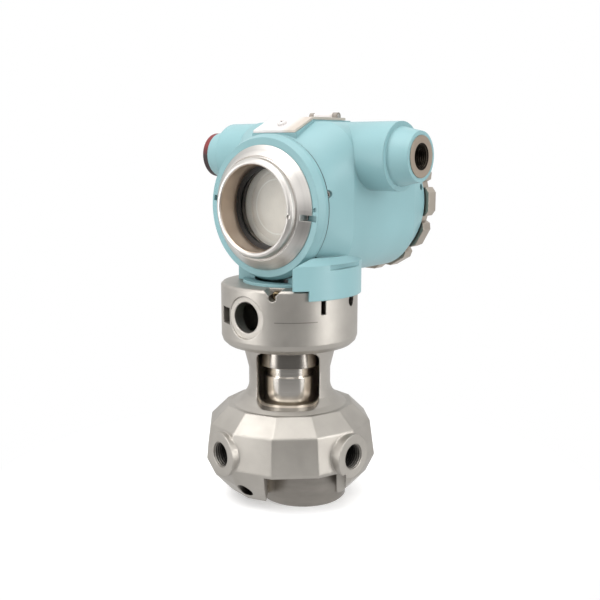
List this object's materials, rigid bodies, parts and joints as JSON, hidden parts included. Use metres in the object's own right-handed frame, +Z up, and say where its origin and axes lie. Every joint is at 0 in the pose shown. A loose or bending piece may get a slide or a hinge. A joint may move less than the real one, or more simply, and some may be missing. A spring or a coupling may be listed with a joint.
{
  "type": "differential pressure transmitter",
  "caption": "Field pressure transmitter: a steel measuring cell with side process ports, a swivelling electronics housing, a window cover and a rear cover.",
  "frame": {"origin": "on the swivel axis of the housing, at the level of the foot's underside", "axes": "+Z up along the swivel axis, -Y out of the display window, X along both cable entries"},
  "size_m": [0.1906, 0.1775, 0.2835],
  "materials": {
    "cast_steel": "fine cast stainless steel, satin",
    "foot_steel": "turned stainless steel",
    "machined_steel": "turned stainless steel",
    "diaphragm_foil": "thin stainless foil",
    "tube_steel": "turned stainless steel, satin",
    "polished_steel": "polished stainless steel",
    "board_green": "circuit board lacquer",
    "zinc_screw": "zinc plated steel",
    "brass_screw": "turned brass",
    "teal_paint": "light petrol enamel on die-cast aluminium, satin gloss",
    "black_rubber": "moulded black rubber",
    "ribbon_grey": "grey flat cable",
    "bare_metal": "bare turned metal, warm tint",
    "module_grey": "moulded dark grey plastic",
    "display_frame": "moulded black plastic",
    "display_screen": "unlit display",
    "display_ring": "pale printed ring",
    "terminal_black": "moulded black plastic",
    "cover_paint": "light petrol enamel, satin gloss",
    "bezel_metal": "bare turned aluminium, satin",
    "window_glass": "thick clear glass",
    "rear_cover_metal": "bare cast aluminium, warm tint",
    "key_plastic": "moulded dark grey plastic",
    "pale_metal": "bare sheet, satin",
    "red_plastic": "moulded red plastic"
  },
  "bodies": {
    "cell": {"cell_casting": "cast_steel", "foot_disc": "foot_steel", "measuring_capsule": "machined_steel", "diaphragm_high": "diaphragm_foil", "diaphragm_low": "diaphragm_foil", "sensor_tube": "tube_steel", "union_nut": "polished_steel", "pressure_chip": "machined_steel", "header": "machined_steel", "fill_tubes": "machined_steel", "sensor_board": "board_green", "sensor_board_screws": "zinc_screw", "swivel_lock_screw": "brass_screw"},
    "housing": {"housing_casting": "teal_paint", "retaining_ring": "zinc_screw", "swivel_seal": "black_rubber", "ribbon_cable": "ribbon_grey", "thread_insert": "bare_metal", "electronics_module": "module_grey", "main_board": "board_green", "display_module": "display_frame", "display_screen": "display_screen", "display_ring": "display_ring", "display_screws": "zinc_screw", "feedthrough": "module_grey", "terminal_block": "terminal_black", "terminal_screws": "zinc_screw", "inner_ground_screw": "zinc_screw", "front_lock_screw": "zinc_screw", "rear_lock_screw": "zinc_screw", "ground_clamp": "zinc_screw", "ground_screw": "zinc_screw", "key_panel": "module_grey", "hinge_pin": "zinc_screw"},
    "front_cover_thread": {"front_cover_seal": "black_rubber"},
    "front_cover": {"front_cover": "cover_paint", "front_bezel": "bezel_metal", "window_gasket": "black_rubber", "window_glass": "window_glass"},
    "rear_cover_thread": {"rear_cover_seal": "black_rubber"},
    "rear_cover": {"rear_cover": "rear_cover_metal"},
    "key_cover": {"key_cover": "pale_metal", "key_cover_screw": "zinc_screw"},
    "key_1": {"key_1": "key_plastic"},
    "key_2": {"key_2": "key_plastic"},
    "key_3": {"key_3": "key_plastic"},
    "dust_plug": {"dust_plug": "red_plastic"}
  },
  "joints": [
    {"name": "housing_swivel", "type": "hinge", "parent": "cell", "child": "housing", "pos_m": [0, 0, 0.157], "axis": [0, 0, 1], "range_deg": [-180, 180]},
    {"name": "front_cover_travel", "type": "slide", "parent": "housing", "child": "front_cover_thread", "axis": [0, -1, 0], "range_m": [0, 0.0126]},
    {"name": "front_cover_turn", "type": "hinge", "parent": "front_cover_thread", "child": "front_cover", "pos_m": [0, -0.029, 0.2165], "axis": [0, -1, 0], "range_deg": [0, 2250]},
    {"name": "rear_cover_travel", "type": "slide", "parent": "housing", "child": "rear_cover_thread", "axis": [0, 1, 0], "range_m": [0, 0.0126]},
    {"name": "rear_cover_turn", "type": "hinge", "parent": "rear_cover_thread", "child": "rear_cover", "pos_m": [0, 0.1, 0.2165], "axis": [0, 1, 0], "range_deg": [0, 2250]},
    {"name": "key_cover_hinge", "type": "hinge", "parent": "housing", "child": "key_cover", "pos_m": [0, 0.042, 0.2809], "axis": [1, 0, 0], "range_deg": [-110, 0]},
    {"name": "key_1_press", "type": "slide", "parent": "housing", "child": "key_1", "axis": [0, 0, -1], "range_m": [0, 0.0015], "stiffness_N_per_m": 400},
    {"name": "key_2_press", "type": "slide", "parent": "housing", "child": "key_2", "axis": [0, 0, -1], "range_m": [0, 0.0015], "stiffness_N_per_m": 400},
    {"name": "key_3_press", "type": "slide", "parent": "housing", "child": "key_3", "axis": [0, 0, -1], "range_m": [0, 0.0015], "stiffness_N_per_m": 400},
    {"name": "dust_plug_pull", "type": "slide", "parent": "housing", "child": "dust_plug", "axis": [-1, 0, 0], "range_m": [0, 0.0165]}
  ],
  "couplings": [
    {"joint": "front_cover_travel", "follows": "front_cover_turn", "m_per_rad": 0.00031831},
    {"joint": "rear_cover_travel", "follows": "rear_cover_turn", "m_per_rad": 0.00031831}
  ]
}
